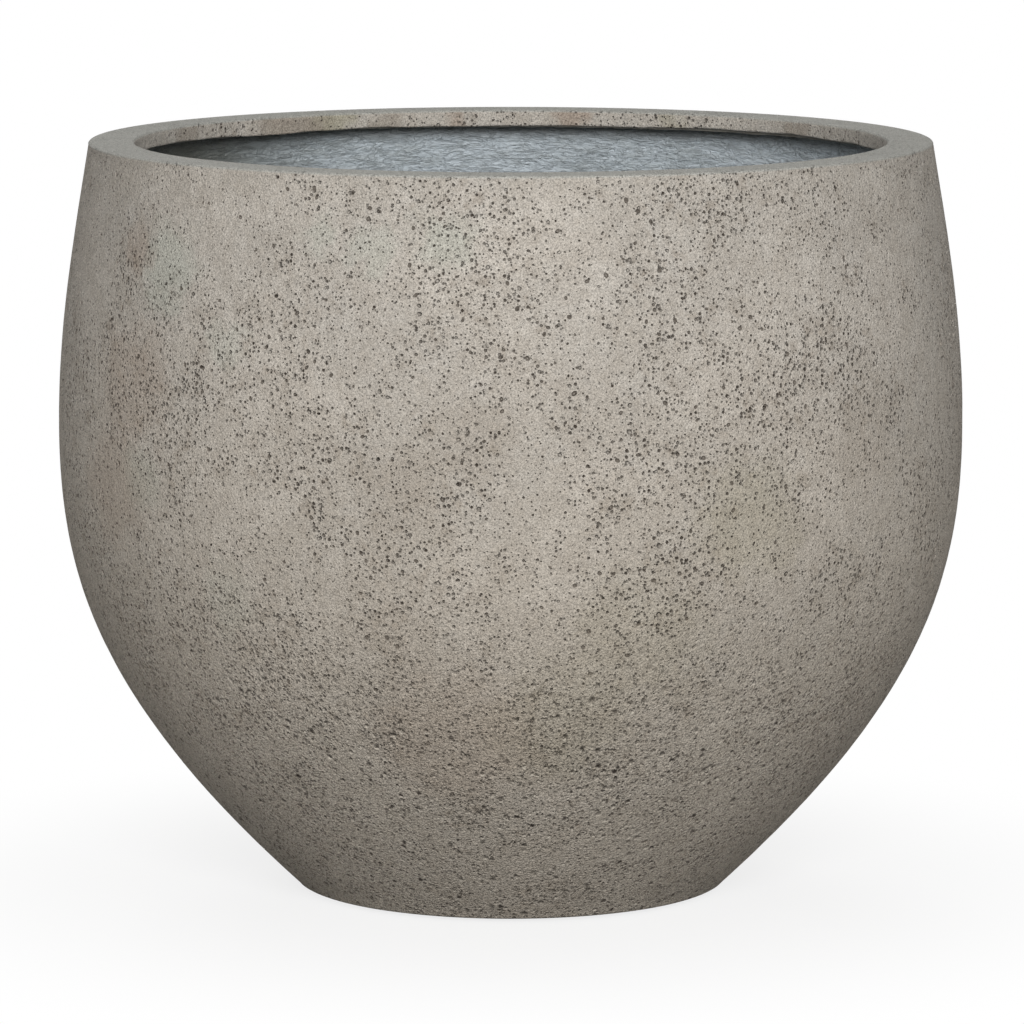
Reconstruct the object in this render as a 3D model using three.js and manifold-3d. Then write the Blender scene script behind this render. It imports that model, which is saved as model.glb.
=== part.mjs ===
// A round bowl planter cast in cement, in millimetres, +Z up, standing on z = 0 with its axis on Z.
// The wall is a laminate: a thin cast facing outside, a glass-fibre backing bonded inside it and a
// waterproof coat on the inside. A packed core stiffens the turned-in rim and a disc stiffens the floor.
// A drain sleeve passes through the floor, a rubber plug closes it, and four rubber pads lift the base.
import * as THREE from "three";
import { mergeVertices } from "three/addons/utils/BufferGeometryUtils.js";
import Module from "manifold-3d";

// Outline of the outer face.
const bowlHeight = 720; // underside of the base to the top of the rim
const widestRadius = 435;
const widestHeight = 450;
const footRadius = 205; // where the wall's line meets the underside, before the edge is rounded
const footSlope = 43; // degrees above the floor at which the wall leaves the base
const rimRadius = 404; // where the wall's line meets the rim's top plane, before the edge is rounded
const rimLean = 9.3; // degrees from upright at which the wall reaches the rim
// Lengths of the tangents that give the two curves of the wall their fullness.
const footTangent = 280;
const bellyTangent = 135;
const shoulderTangent = 100;
const rimTangent = 80;
const footRound = 14; // radius of the edge between base and wall

// The rim: a flat top, turned down inside the mouth.
const rimWidth = 44; // flat top, from the wall's line to the face of the mouth
const rimDrop = 17; // height of the turned-down face inside the mouth
const rimEdgeRound = 3;
const lipEdgeRound = 2; // lower edge of the turned-down face

// Build-up of the wall and the floor.
const facingThickness = 5;
const backingThickness = 6;
const coatingThickness = 1.2;
const floorDiscThickness = 9;
const bondGap = 0.3; // adhesive line between bonded pieces, and the seating gap of loose ones
const facingInsideRound = 9;
const backingInsideRound = 9;
const coatingInsideRound = 12;

// Drain: a flanged sleeve through the floor, sunk into a seat so that the floor drains dry, and its
// rubber plug.
const seatDepth = 3;
const seatClearance = 0.5; // from the flange to the coat round it
const sleeveBore = 26;
const sleeveWall = 2.5;
const sleeveFlangeWidth = 9; // how far the flange reaches past the tube
const sleeveFlangeThickness = 2.4;
const sleeveEdge = 0.8;
const plugClearance = 0.4; // between the stem and the bore, on the radius
const plugTipInset = 6; // from the underside of the base up to the tip of the stem
const plugStemTaper = 1.2; // how much the stem's radius shrinks down to its tip
const plugHeadOverhang = 6; // how far the head reaches past the bore
const plugHeadEdge = 2.6; // height of the head's rim
const plugHeadCrown = 2.2; // rise of the head's domed top
const gripWidth = 22; // also the diameter of its round top
const gripSide = 4; // height of its straight sides above the head
const gripThickness = 5;
const gripSink = 2; // how deep the grip's root is fused into the head

// Floor pads.
const padCount = 4;
const padRadius = 20;
const padThickness = 3;
const padEdge = 0.8;
const padMargin = 10; // from the pad's edge to where the base starts to round

// Facets.
const aroundSteps = 48; // a multiple of 4, so that the widest points lie on the axes
const lowerSteps = 8;
const upperSteps = 3;
const roundSteps = 3;
const smallSteps = 28; // around the drain pieces and the pads

const concrete = new THREE.MeshStandardMaterial({ color: 0xa89f92, roughness: 0.9, metalness: 0 });
const packedCore = new THREE.MeshStandardMaterial({ color: 0x8f8a80, roughness: 0.95, metalness: 0 });
const laminate = new THREE.MeshStandardMaterial({ color: 0x9c9a86, roughness: 0.8, metalness: 0 });
const greyCoat = new THREE.MeshStandardMaterial({ color: 0x8b9799, roughness: 0.55, metalness: 0 });
const greyPlastic = new THREE.MeshStandardMaterial({ color: 0x4a4d4f, roughness: 0.5, metalness: 0 });
const blackRubber = new THREE.MeshStandardMaterial({ color: 0x232323, roughness: 0.7, metalness: 0 });

const wasm = await Module();
wasm.setup();

// ---- The wall's line, in the plane of radius (x) and height (y) ----

function at(radius, height) {
  return new THREE.Vector2(radius, height);
}

const footAngle = THREE.MathUtils.degToRad(footSlope);
const rimAngle = THREE.MathUtils.degToRad(rimLean);
const lowerWall = new THREE.CubicBezierCurve(
  at(footRadius, 0),
  at(footRadius + footTangent * Math.cos(footAngle), footTangent * Math.sin(footAngle)),
  at(widestRadius, widestHeight - bellyTangent),
  at(widestRadius, widestHeight),
);
const upperWall = new THREE.CubicBezierCurve(
  at(widestRadius, widestHeight),
  at(widestRadius, widestHeight + shoulderTangent),
  at(rimRadius + rimTangent * Math.sin(rimAngle), bowlHeight - rimTangent * Math.cos(rimAngle)),
  at(rimRadius, bowlHeight),
);

// A station runs from 0 at the foot through 1 at the widest point to 2 at the rim.
function wallTangent(station) {
  return station < 1 ? lowerWall.getTangent(station) : upperWall.getTangent(station - 1);
}

// The point of the wall at a station, moved `depth` into the wall, square to its outer face.
function wallPoint(station, depth) {
  const point = station < 1 ? lowerWall.getPoint(station) : upperWall.getPoint(station - 1);
  const tangent = wallTangent(station);
  return point.add(at(-tangent.y, tangent.x).multiplyScalar(depth));
}

// The station at which `below`, true near the foot, turns false.
function stationWhere(below) {
  let low = 0;
  let high = 2;
  for (let halving = 0; halving < 40; halving++) {
    const middle = (low + high) / 2;
    if (below(middle)) low = middle;
    else high = middle;
  }
  return high;
}

function stationAtHeight(depth, height) {
  return stationWhere((station) => wallPoint(station, depth).y < height);
}

// Where a round of radius `round` standing on the level `floor` runs into the wall at `depth`.
function stationAboveRound(depth, floor, round) {
  return stationWhere((station) => {
    const rise = round * (1 - wallTangent(station).x);
    return wallPoint(station, depth).y < floor + rise;
  });
}

const sharedStations = [];
for (let step = 1; step <= lowerSteps; step++) sharedStations.push(step / lowerSteps);
for (let step = 1; step <= upperSteps; step++) sharedStations.push(1 + step / upperSteps);

// The wall's line at `depth` from one station up to another. Layers that face each other share
// their stations, so that their facets run parallel.
function wallLine(depth, from, to, extraStations = []) {
  const between = [...sharedStations, ...extraStations]
    .filter((station) => station > from && station < to)
    .sort((a, b) => a - b);
  return [from, ...between, to].map((station) => wallPoint(station, depth));
}

// Points on a round about `centre`, by the slope of the line that it turns: 0 runs outwards, 90 up,
// 180 inwards and 270 down.
function roundLine(centre, radius, fromSlope, toSlope) {
  const points = [];
  for (let step = 0; step <= roundSteps; step++) {
    const slope = THREE.MathUtils.degToRad(fromSlope + ((toSlope - fromSlope) * step) / roundSteps);
    points.push(at(centre.x + radius * Math.sin(slope), centre.y - radius * Math.cos(slope)));
  }
  return points;
}

// A seam is one surface between two layers: a level floor, a round and the wall at `depth`.
function seam(depth, floor, round) {
  return { depth, floor, round, station: stationAboveRound(depth, floor, round) };
}

// The seam's line from its floor, round the corner and up the wall to a station, moved `gap` inwards.
function seamLine(line, gap, to, extraStations = []) {
  const slope = THREE.MathUtils.radToDeg(wallTangent(line.station).angle());
  const centre = wallPoint(line.station, line.depth + line.round);
  const corner = roundLine(centre, line.round - gap, 0, slope);
  return [...corner.slice(0, -1), ...wallLine(line.depth + gap, line.station, to, extraStations)];
}

const outside = seam(0, 0, footRound);
const behindFacing = seam(facingThickness, facingThickness, facingInsideRound);
const backingDepth = facingThickness + bondGap + backingThickness;
const behindBacking = seam(backingDepth, backingDepth, backingInsideRound);
const floorDiscTop = backingDepth + bondGap + floorDiscThickness;
const behindCoating = seam(backingDepth + bondGap, floorDiscTop + bondGap, coatingInsideRound);
const coatingTop = floorDiscTop + bondGap + coatingThickness;

const mouthRadius = rimRadius - rimWidth;
const lipOuterRadius = mouthRadius + facingThickness;
const rimUnderside = bowlHeight - facingThickness;
const ledgeHeight = bowlHeight - rimDrop;

// ---- Meshes ----

function namedMesh(name, geometry, material) {
  const mesh = new THREE.Mesh(geometry, material);
  mesh.name = name;
  return mesh;
}

// Revolves a closed outline about the upright axis.
function revolve(outline, steps) {
  return new THREE.LatheGeometry([...outline, outline[0]], steps).rotateX(Math.PI / 2);
}

const sleeveRadius = sleeveBore / 2 + sleeveWall;
const floorHoleRadius = sleeveRadius + bondGap;
const flangeRadius = sleeveRadius + sleeveFlangeWidth;
const coatSeatRadius = flangeRadius + seatClearance;
const discSeatRadius = coatSeatRadius + coatingThickness + bondGap;

// The cast skin: underside, outer wall, flat rim and the turned-down lip inside the mouth.
function facingShell() {
  const rimStation = stationWhere((station) => {
    const rise = rimEdgeRound * (1 + wallTangent(station).x);
    return wallPoint(station, 0).y < bowlHeight - rise;
  });
  const rimSlope = THREE.MathUtils.radToDeg(wallTangent(rimStation).angle());
  const outerEdge = wallPoint(rimStation, rimEdgeRound);
  const mouthEdge = at(mouthRadius + rimEdgeRound, bowlHeight - rimEdgeRound);
  const lipEdge = at(mouthRadius + lipEdgeRound, ledgeHeight + lipEdgeRound);
  const insideTop = stationAtHeight(facingThickness, rimUnderside);
  return revolve(
    [
      at(floorHoleRadius, 0),
      ...seamLine(outside, 0, rimStation),
      ...roundLine(outerEdge, rimEdgeRound, rimSlope, 180).slice(1),
      ...roundLine(mouthEdge, rimEdgeRound, 180, 270),
      ...roundLine(lipEdge, lipEdgeRound, 270, 360),
      at(lipOuterRadius, ledgeHeight),
      at(lipOuterRadius, rimUnderside),
      ...seamLine(behindFacing, 0, insideTop).reverse(),
      at(floorHoleRadius, facingThickness),
    ],
    aroundSteps,
  );
}

// The glass-fibre laminate bonded inside the facing, up to the underside of the rim.
function fibreBacking() {
  const top = rimUnderside - bondGap;
  const outerTop = stationAtHeight(facingThickness + bondGap, top);
  const innerTop = stationAtHeight(backingDepth, top);
  const besideEdges = [
    stationAtHeight(backingDepth + bondGap, floorDiscTop),
    behindCoating.station,
    stationAtHeight(backingDepth + bondGap, ledgeHeight),
  ];
  return revolve(
    [
      at(floorHoleRadius, facingThickness + bondGap),
      ...seamLine(behindFacing, bondGap, outerTop),
      ...seamLine(behindBacking, 0, innerTop, besideEdges).reverse(),
      at(floorHoleRadius, backingDepth),
    ],
    aroundSteps,
  );
}

// The packed ring that fills the turned-in rim between the lip and the backing.
function rimCore() {
  const depth = backingDepth + bondGap;
  const top = rimUnderside - bondGap;
  const side = wallLine(depth, stationAtHeight(depth, ledgeHeight), stationAtHeight(depth, top));
  const innerRadius = lipOuterRadius + bondGap;
  return revolve([at(innerRadius, ledgeHeight), ...side, at(innerRadius, top)], aroundSteps);
}

// The disc that stiffens the floor, fitted to the wall all round, with the seat for the drain's flange.
function floorDisc() {
  const edge = stationAtHeight(backingDepth + bondGap, floorDiscTop);
  return revolve(
    [
      at(floorHoleRadius, backingDepth + bondGap),
      ...seamLine(behindBacking, bondGap, edge),
      at(discSeatRadius, floorDiscTop),
      at(discSeatRadius, floorDiscTop - seatDepth),
      at(floorHoleRadius, floorDiscTop - seatDepth),
    ],
    aroundSteps,
  );
}

// The waterproof coat over the floor, down into the seat and up the wall to the ledge under the rim.
function innerCoating() {
  const top = ledgeHeight - bondGap;
  const outerTop = stationAtHeight(behindCoating.depth, top);
  const innerTop = stationAtHeight(behindCoating.depth + coatingThickness, top);
  return revolve(
    [
      at(floorHoleRadius, behindCoating.floor - seatDepth),
      at(discSeatRadius - bondGap, behindCoating.floor - seatDepth),
      at(discSeatRadius - bondGap, behindCoating.floor),
      ...seamLine(behindCoating, 0, outerTop),
      ...seamLine(behindCoating, coatingThickness, innerTop).reverse(),
      at(coatSeatRadius, coatingTop),
      at(coatSeatRadius, coatingTop - seatDepth),
      at(floorHoleRadius, coatingTop - seatDepth),
    ],
    aroundSteps,
  );
}

const flangeUnderside = coatingTop - seatDepth + bondGap;
const flangeTop = flangeUnderside + sleeveFlangeThickness;
const plugSeat = flangeTop + bondGap;

// The flanged tube through every layer of the floor, flush with the underside.
function drainSleeve() {
  return revolve(
    [
      at(sleeveBore / 2, 0),
      at(sleeveRadius, 0),
      at(sleeveRadius, flangeUnderside),
      at(flangeRadius, flangeUnderside),
      at(flangeRadius, flangeTop - sleeveEdge),
      at(flangeRadius - sleeveEdge, flangeTop),
      at(sleeveBore / 2 + sleeveEdge, flangeTop),
      at(sleeveBore / 2, flangeTop - sleeveEdge),
    ],
    smallSteps,
  );
}

// A closed geometry as a solid for the boolean library.
function toSolid(geometry) {
  const bare = geometry.clone();
  bare.deleteAttribute("normal");
  bare.deleteAttribute("uv");
  const merged = mergeVertices(bare);
  return new wasm.Manifold(
    new wasm.Mesh({
      numProp: 3,
      vertProperties: new Float32Array(merged.attributes.position.array),
      triVerts: new Uint32Array(merged.index.array),
    }),
  );
}

function toGeometry(solid) {
  const mesh = solid.getMesh();
  const geometry = new THREE.BufferGeometry();
  geometry.setAttribute("position", new THREE.BufferAttribute(mesh.vertProperties, 3));
  geometry.setIndex(new THREE.BufferAttribute(mesh.triVerts, 1));
  geometry.computeVertexNormals();
  return geometry;
}

// The rubber stopper: a tapered stem under a domed head, with a thumb grip fused on top.
// Its own origin is on the axis, level with the underside of the head.
function drainPlug() {
  const stemRadius = sleeveBore / 2 - plugClearance;
  const headRadius = sleeveBore / 2 + plugHeadOverhang;
  const tip = plugTipInset - plugSeat;
  const body = revolve(
    [
      at(0, tip),
      at(stemRadius - plugStemTaper, tip),
      at(stemRadius, 0),
      at(headRadius, 0),
      at(headRadius, plugHeadEdge),
      at(headRadius / 2, plugHeadEdge + (plugHeadCrown * 3) / 4), // the dome is a parabola
      at(0, plugHeadEdge + plugHeadCrown),
    ],
    smallSteps,
  );
  const root = plugHeadEdge + plugHeadCrown - gripSink;
  const gripOutline = new THREE.Shape();
  gripOutline.moveTo(-gripWidth / 2, 0);
  gripOutline.lineTo(gripWidth / 2, 0);
  gripOutline.absarc(0, gripSink + gripSide, gripWidth / 2, 0, Math.PI, false);
  gripOutline.closePath();
  const grip = new THREE.ExtrudeGeometry(gripOutline, {
    depth: gripThickness,
    bevelEnabled: false,
    curveSegments: 6,
  });
  grip.translate(0, 0, -gripThickness / 2).rotateX(Math.PI / 2).translate(0, 0, root);
  return toGeometry(toSolid(body).add(toSolid(grip)));
}

// A round rubber pad, standing on z = 0.
function floorPad() {
  return revolve(
    [
      at(0, 0),
      at(padRadius - padEdge, 0),
      at(padRadius, padEdge),
      at(padRadius, padThickness),
      at(0, padThickness),
    ],
    smallSteps,
  );
}

// ---- Assembly ----

const planter = new THREE.Group();
const bowl = new THREE.Group();
bowl.position.z = padThickness + bondGap;
planter.add(bowl);

bowl.add(namedMesh("facing_shell", facingShell(), concrete));
bowl.add(namedMesh("fibre_backing", fibreBacking(), laminate));
bowl.add(namedMesh("rim_core", rimCore(), packedCore));
bowl.add(namedMesh("floor_disc", floorDisc(), packedCore));
bowl.add(namedMesh("inner_coating", innerCoating(), greyCoat));
bowl.add(namedMesh("drain_sleeve", drainSleeve(), greyPlastic));

const plug = namedMesh("drain_plug", drainPlug(), blackRubber);
plug.position.z = plugSeat;
bowl.add(plug);

const flatRadius = wallPoint(outside.station, footRound).x;
for (let index = 0; index < padCount; index++) {
  const angle = ((index + 0.5) * 2 * Math.PI) / padCount;
  const pad = namedMesh("floor_pad_" + (index + 1), floorPad(), blackRubber);
  const fromAxis = flatRadius - padMargin - padRadius;
  pad.position.set(fromAxis * Math.cos(angle), fromAxis * Math.sin(angle), 0);
  planter.add(pad);
}

export default planter;
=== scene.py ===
"""The looks of a round bowl planter in cast cement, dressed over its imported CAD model.

Metres, +Z up, in the model's own frame: the planter stands on z = 0 with its axis on Z.
Every layer follows one wall line, as in the CAD source, so each piece fits the solid that it replaces.
"""

import math
from itertools import product

import bpy
import numpy as np
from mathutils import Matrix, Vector, noise
from mathutils.geometry import delaunay_2d_cdt


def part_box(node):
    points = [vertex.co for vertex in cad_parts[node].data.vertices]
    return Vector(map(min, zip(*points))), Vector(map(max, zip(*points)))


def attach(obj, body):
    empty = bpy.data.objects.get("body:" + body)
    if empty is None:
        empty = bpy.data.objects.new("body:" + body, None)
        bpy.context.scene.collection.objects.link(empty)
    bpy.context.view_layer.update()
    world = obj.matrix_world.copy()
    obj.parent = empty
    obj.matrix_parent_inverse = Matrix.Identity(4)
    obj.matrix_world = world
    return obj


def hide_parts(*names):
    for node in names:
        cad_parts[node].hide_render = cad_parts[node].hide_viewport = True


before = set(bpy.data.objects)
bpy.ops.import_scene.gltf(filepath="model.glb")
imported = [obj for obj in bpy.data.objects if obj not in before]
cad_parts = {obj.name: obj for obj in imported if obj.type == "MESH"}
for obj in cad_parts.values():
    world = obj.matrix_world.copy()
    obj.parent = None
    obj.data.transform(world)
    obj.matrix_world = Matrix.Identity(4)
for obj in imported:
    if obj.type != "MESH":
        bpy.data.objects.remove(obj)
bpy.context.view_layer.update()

MM = 0.001
TURN = 2 * math.pi


def mm(*lengths):
    return [length * MM for length in lengths]


# ---- Driving dimensions, those of the CAD source ----

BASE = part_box("facing_shell")[0].z  # underside of the cast base
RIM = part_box("facing_shell")[1].z  # top of the rim
WIDEST_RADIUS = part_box("facing_shell")[1].x
WIDEST_HEIGHT = BASE + 450 * MM
FOOT_RADIUS = 205 * MM
FOOT_SLOPE = math.radians(43)
RIM_RADIUS = 404 * MM
RIM_LEAN = math.radians(9.3)
FOOT_TANGENT = 280 * MM
BELLY_TANGENT = 135 * MM
SHOULDER_TANGENT = 100 * MM
RIM_TANGENT = 80 * MM
FOOT_ROUND = 14 * MM
RIM_WIDTH = 44 * MM
RIM_DROP = 17 * MM
RIM_EDGE_ROUND = 3 * MM
LIP_EDGE_ROUND = 2 * MM
FACING_THICKNESS = 5 * MM
BACKING_THICKNESS = 6 * MM
COATING_THICKNESS = 1.2 * MM
FLOOR_DISC_THICKNESS = 9 * MM
BOND_GAP = 0.3 * MM
FACING_INSIDE_ROUND = 9 * MM
BACKING_INSIDE_ROUND = 9 * MM
COATING_INSIDE_ROUND = 12 * MM
SEAT_DEPTH = 3 * MM
SEAT_CLEARANCE = 0.5 * MM
SLEEVE_BORE_RADIUS = 13 * MM
SLEEVE_RADIUS = 15.5 * MM
FLANGE_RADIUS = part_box("drain_sleeve")[1].x
FLANGE_THICKNESS = 2.4 * MM
FLOOR_HOLE_RADIUS = SLEEVE_RADIUS + BOND_GAP

MOUTH_RADIUS = RIM_RADIUS - RIM_WIDTH
LIP_OUTER_RADIUS = MOUTH_RADIUS + FACING_THICKNESS
RIM_UNDERSIDE = RIM - FACING_THICKNESS
LEDGE = RIM - RIM_DROP
BACKING_DEPTH = FACING_THICKNESS + BOND_GAP + BACKING_THICKNESS
COATING_DEPTH = BACKING_DEPTH + BOND_GAP
FLOOR_DISC_TOP = BASE + BACKING_DEPTH + BOND_GAP + FLOOR_DISC_THICKNESS
COATING_FLOOR = FLOOR_DISC_TOP + BOND_GAP
COATING_TOP = COATING_FLOOR + COATING_THICKNESS

# ---- Camera: the photograph's, at its distance and height ----

LENS = 224.05
SENSOR = 36.0
FAR = 200.0
CAMERA_DISTANCE = 6.159
CAMERA_ELEVATION = math.radians(8.056)
AIM = Vector((0.0012, 0.0, 0.3624))


def add_aimed(name, data, place, way):
    """A new camera or lamp at a place, looking along a way."""
    made = bpy.data.objects.new(name, data)
    made.location = place
    made.rotation_mode = "QUATERNION"
    made.rotation_quaternion = way.to_track_quat("-Z", "Y")
    bpy.context.scene.collection.objects.link(made)
    return made


def make_camera():
    back = Vector((0, -math.cos(CAMERA_ELEVATION), math.sin(CAMERA_ELEVATION)))
    data = bpy.data.cameras.new("camera")
    data.lens = LENS
    data.sensor_width = SENSOR
    data.clip_end = FAR
    bpy.context.scene.camera = add_aimed("camera", data, AIM + back * CAMERA_DISTANCE, -back)


# ---- The wall line, in the plane of radius and height ----

LINE_STEPS = 2000


def cubic(start, start_handle, end_handle, end):
    """Points of a Bezier curve and the unit vectors along it."""
    t = np.linspace(0, 1, LINE_STEPS + 1)[:, None]
    u = 1 - t
    a, b, c, d = (np.array(corner) for corner in (start, start_handle, end_handle, end))
    points = u**3 * a + 3 * u * u * t * b + 3 * u * t * t * c + t**3 * d
    along = u * u * (b - a) + 2 * u * t * (c - b) + t * t * (d - c)
    return points, along / np.linalg.norm(along, axis=1)[:, None]


def make_wall_line():
    foot_handle = (
        FOOT_RADIUS + FOOT_TANGENT * math.cos(FOOT_SLOPE),
        BASE + FOOT_TANGENT * math.sin(FOOT_SLOPE),
    )
    rim_handle = (
        RIM_RADIUS + RIM_TANGENT * math.sin(RIM_LEAN),
        RIM - RIM_TANGENT * math.cos(RIM_LEAN),
    )
    widest = (WIDEST_RADIUS, WIDEST_HEIGHT)
    below = (WIDEST_RADIUS, WIDEST_HEIGHT - BELLY_TANGENT)
    above = (WIDEST_RADIUS, WIDEST_HEIGHT + SHOULDER_TANGENT)
    lower, lower_along = cubic((FOOT_RADIUS, BASE), foot_handle, below, widest)
    upper, upper_along = cubic(widest, above, rim_handle, (RIM_RADIUS, RIM))
    points = np.vstack([lower[:-1], upper])
    along = np.vstack([lower_along[:-1], upper_along])
    return points, np.stack([-along[:, 1], along[:, 0]], 1)


def running_sum(steps):
    return np.concatenate([[0], np.cumsum(steps)])


WALL, INWARD = make_wall_line()
STATION = np.linspace(0, 2, len(WALL))
STEP_LENGTHS = np.linalg.norm(np.diff(WALL, axis=0), axis=1)
TRAVELLED = running_sum(STEP_LENGTHS)  # along the outer face, up to each of STATION


def at_station(table, station):
    """Rows of a table over STATION, interpolated at one station or several."""
    return np.stack([np.interp(station, STATION, column) for column in table.T], -1)


def wall_point(station, depth):
    """The wall line at a station, moved `depth` into the wall, square to it."""
    return at_station(WALL, station) + at_station(INWARD, station) * depth


def station_at_height(depth, height):
    return np.interp(height, (WALL + INWARD * depth)[:, 1], STATION)


def slope_at(station):
    """The wall line's slope at a station in degrees: 90 is upright."""
    inward = at_station(INWARD, station)
    return math.degrees(math.atan2(-inward[0], inward[1]))


def spaced_stations(first, last, spacing):
    """Stations from first to last at an even spacing along the outer face."""
    start, end = np.interp([first, last], STATION, TRAVELLED)
    count = max(1, round((end - start) / spacing))
    return np.interp(np.linspace(start, end, count + 1), TRAVELLED, STATION)


def arc(centre, radius, first, last, count):
    """Points on a round, by the slope of the line that it turns in degrees: 0 runs outwards, 90 up."""
    slope = np.radians(np.linspace(first, last, count + 1))
    return np.array(centre) + radius * np.stack([np.sin(slope), -np.cos(slope)], 1)


def straight(start, end, count):
    share = np.linspace(0, 1, count + 1)[:, None]
    return np.array(start) * (1 - share) + np.array(end) * share


def corner_of(depth, floor, radius):
    """The round between a level floor and the wall at `depth`: its centre, end station and end slope."""
    station = station_at_height(depth + radius, floor + radius)
    return wall_point(station, depth + radius), station, slope_at(station)


def skin(depth, floor, radius, inner_radius, top, spacing, floor_count, corner_count):
    """A layer's line from its floor's inner edge, round the corner and up the wall to the height `top`."""
    centre, station, slope = corner_of(depth, floor, radius)
    level = straight((inner_radius, floor), (centre[0], floor), floor_count)
    corner = arc(centre, radius, 0, slope, corner_count)
    wall = wall_point(spaced_stations(station, station_at_height(depth, top), spacing), depth)
    return np.vstack([level[:-1], corner[:-1], wall])


# ---- Meshes ----


def turn_about_axis(outline, columns):
    """Vertices of an outline turned about the axis, ring by ring."""
    angle = np.arange(columns) * TURN / columns
    x = outline[:, :1] * np.cos(angle)
    y = outline[:, :1] * np.sin(angle)
    z = np.repeat(outline[:, 1:], columns, axis=1)
    return np.stack([x, y, z], 2).reshape(-1, 3)


def ring_faces(rings, columns, closed=True):
    """Quads between rings that follow each other, and from the last back to the first if closed."""
    ring = np.arange(rings if closed else rings - 1)[:, None]
    column = np.arange(columns)[None, :]
    following = (column + 1) % columns
    above = (ring + 1) % rings
    corners = [
        ring * columns + column,
        ring * columns + following,
        above * columns + following,
        above * columns + column,
    ]
    return np.stack(corners, -1).reshape(-1, 4)


def new_piece(name, vertices, faces, material):
    mesh = bpy.data.meshes.new(name)
    mesh.from_pydata(vertices.tolist(), [], [list(face) for face in faces])
    mesh.polygons.foreach_set("use_smooth", np.ones(len(mesh.polygons), bool))
    mesh.materials.append(material)
    mesh.update()
    piece = bpy.data.objects.new(name, mesh)
    bpy.context.scene.collection.objects.link(piece)
    return piece


def point_values(piece, name, values):
    """A number at each vertex that the piece's material can read."""
    attribute = piece.data.attributes.new(name, "FLOAT", "POINT")
    attribute.data.foreach_set("value", np.asarray(values, np.float32))


def sharpen(piece, pairs):
    """Marks the edges between these pairs of vertices as sharp."""
    edges = np.zeros(len(piece.data.edges) * 2, np.int64)
    piece.data.edges.foreach_get("vertices", edges)
    edges = np.sort(edges.reshape(-1, 2), axis=1)
    wanted = np.sort(np.asarray(pairs), axis=1)
    count = len(piece.data.vertices)
    found = np.isin(edges[:, 0] * count + edges[:, 1], wanted[:, 0] * count + wanted[:, 1])
    attribute = piece.data.attributes.new("sharp_edge", "BOOLEAN", "EDGE")
    attribute.data.foreach_set("value", found)


def stand_for(piece, body, node):
    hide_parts(node)
    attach(piece, body)


def rough(points, size, octaves=1, shift=0.0, stretch=(1, 1, 1)):
    """Smooth noise at each point, between about -1 and 1, with humps about `size` across."""
    scale = Vector(stretch) / size
    total = np.zeros(len(points))
    for octave in range(octaves):
        factor = 2.0**octave
        offset = Vector((shift, 1.7 * shift, 0.6 * shift + 11.3 * octave))
        places = (Vector(point) * scale * factor + offset for point in points)
        total += np.fromiter((noise.noise(place) for place in places), float, len(points)) / factor
    return total


def ramp(value, low, high):
    """0 below low, 1 above high and a smooth step between them."""
    t = np.clip((value - low) / (high - low), 0, 1)
    return t * t * (3 - 2 * t)


def between(bounds, share):
    return bounds[0] + (bounds[1] - bounds[0]) * share


def turned(pairs, angle):
    """Pairs of radius and height as points or vectors at their angles round the axis."""
    return np.stack([pairs[:, 0] * np.cos(angle), pairs[:, 0] * np.sin(angle), pairs[:, 1]], 1)


# ---- The cast facing ----

FACING_COLUMNS = 256
GRID_SPACING = 17 * MM  # between the plain points of the outer wall
ROW_SHIFTS = (0.75, 0.25)  # of a column, by turns
EDGE_MARGIN = 5 * MM  # kept clear of pits along the wall patch's edges
SAME_PLACE = 1e-8  # on the flat layout
BASE_ROWS = 3
FOOT_ROWS = 5
RIM_EDGE_ROWS = 5
RIM_TOP_ROWS = 6
MOUTH_EDGE_ROWS = 4
LIP_FACE_ROWS = 5
LIP_EDGE_ROWS = 4
FACING_BACK_STEPS = (60 * MM, 2, 3)  # spacing up the wall, and steps on the floor and in the corner

PIT_SEED = 11
PIT_MARGIN = 1.3  # times a pit's radius, kept clear of other points
PIT_GAP = 0.7 * MM  # and this much more
PLAIN_POINT_GAP = 3 * PIT_GAP
SMALL_PITS = 4300
LARGE_PITS = 2900
SMALL_PIT_RADIUS = mm(0.95, 1.35)
LARGE_PIT_RADIUS = mm(1.35, 2.6)
PIT_BIN = 2 * LARGE_PIT_RADIUS[1] * PIT_MARGIN + PIT_GAP  # pits two bins apart can't touch
PIT_TRIES = 12  # for each pit wanted
CALM_CHANCE = 0.12  # of a pit where they are least crowded
CROWDED_POWER = 1.5
WIDTH_POWER = 3  # the higher, the fewer wide pits
SMALL_PIT_SIDES = 6
LARGE_PIT_SIDES = 8
PIT_OVAL = 0.16  # of its radius
PIT_UNEVEN = 0.1
PIT_DEPTH = (0.63, 1.08)  # of its radius
INNER_RING_REACH = (0.7, 0.8)  # of a large pit's radius
INNER_RING_DEPTH = 0.8  # of its depth
RAISED_CHANCE = 0.45  # of a large pit with a high, pale middle
RAISED_DEPTH = 0.35
# The pit value at a raised middle, which sets how little painted shade it gets.
RAISED_DARKNESS = 0.2

# Noise over the cast face: size, octaves and shift.
CLUSTERS = (110 * MM, 2, 3.1)
KNOTS = (26 * MM, 2, 8.4)
BROAD_WAVE = (170 * MM, 2, 1.3)
FINE_WAVE = (34 * MM, 2, 5.2)
LIP_WAVE = (40 * MM, 3, 2.2)
BROAD_WAVE_DEPTH = 0.5 * MM
FINE_WAVE_DEPTH = 0.16 * MM
CALM_FOOT = mm(90, 260)
CALM_RIM = mm(560, 690)
CROWDING_RANGE = (-0.65, 0.95)

# The turned-down face's edge, trimmed by hand: stretches by angle, half width in degrees and drop.
LIP_STRETCHES = ((132, 8, 1.9 * MM), (50, 24, -1.6 * MM))
LIP_TRIM = 0.7 * MM
LIP_UNEVEN = 0.9 * MM


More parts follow.
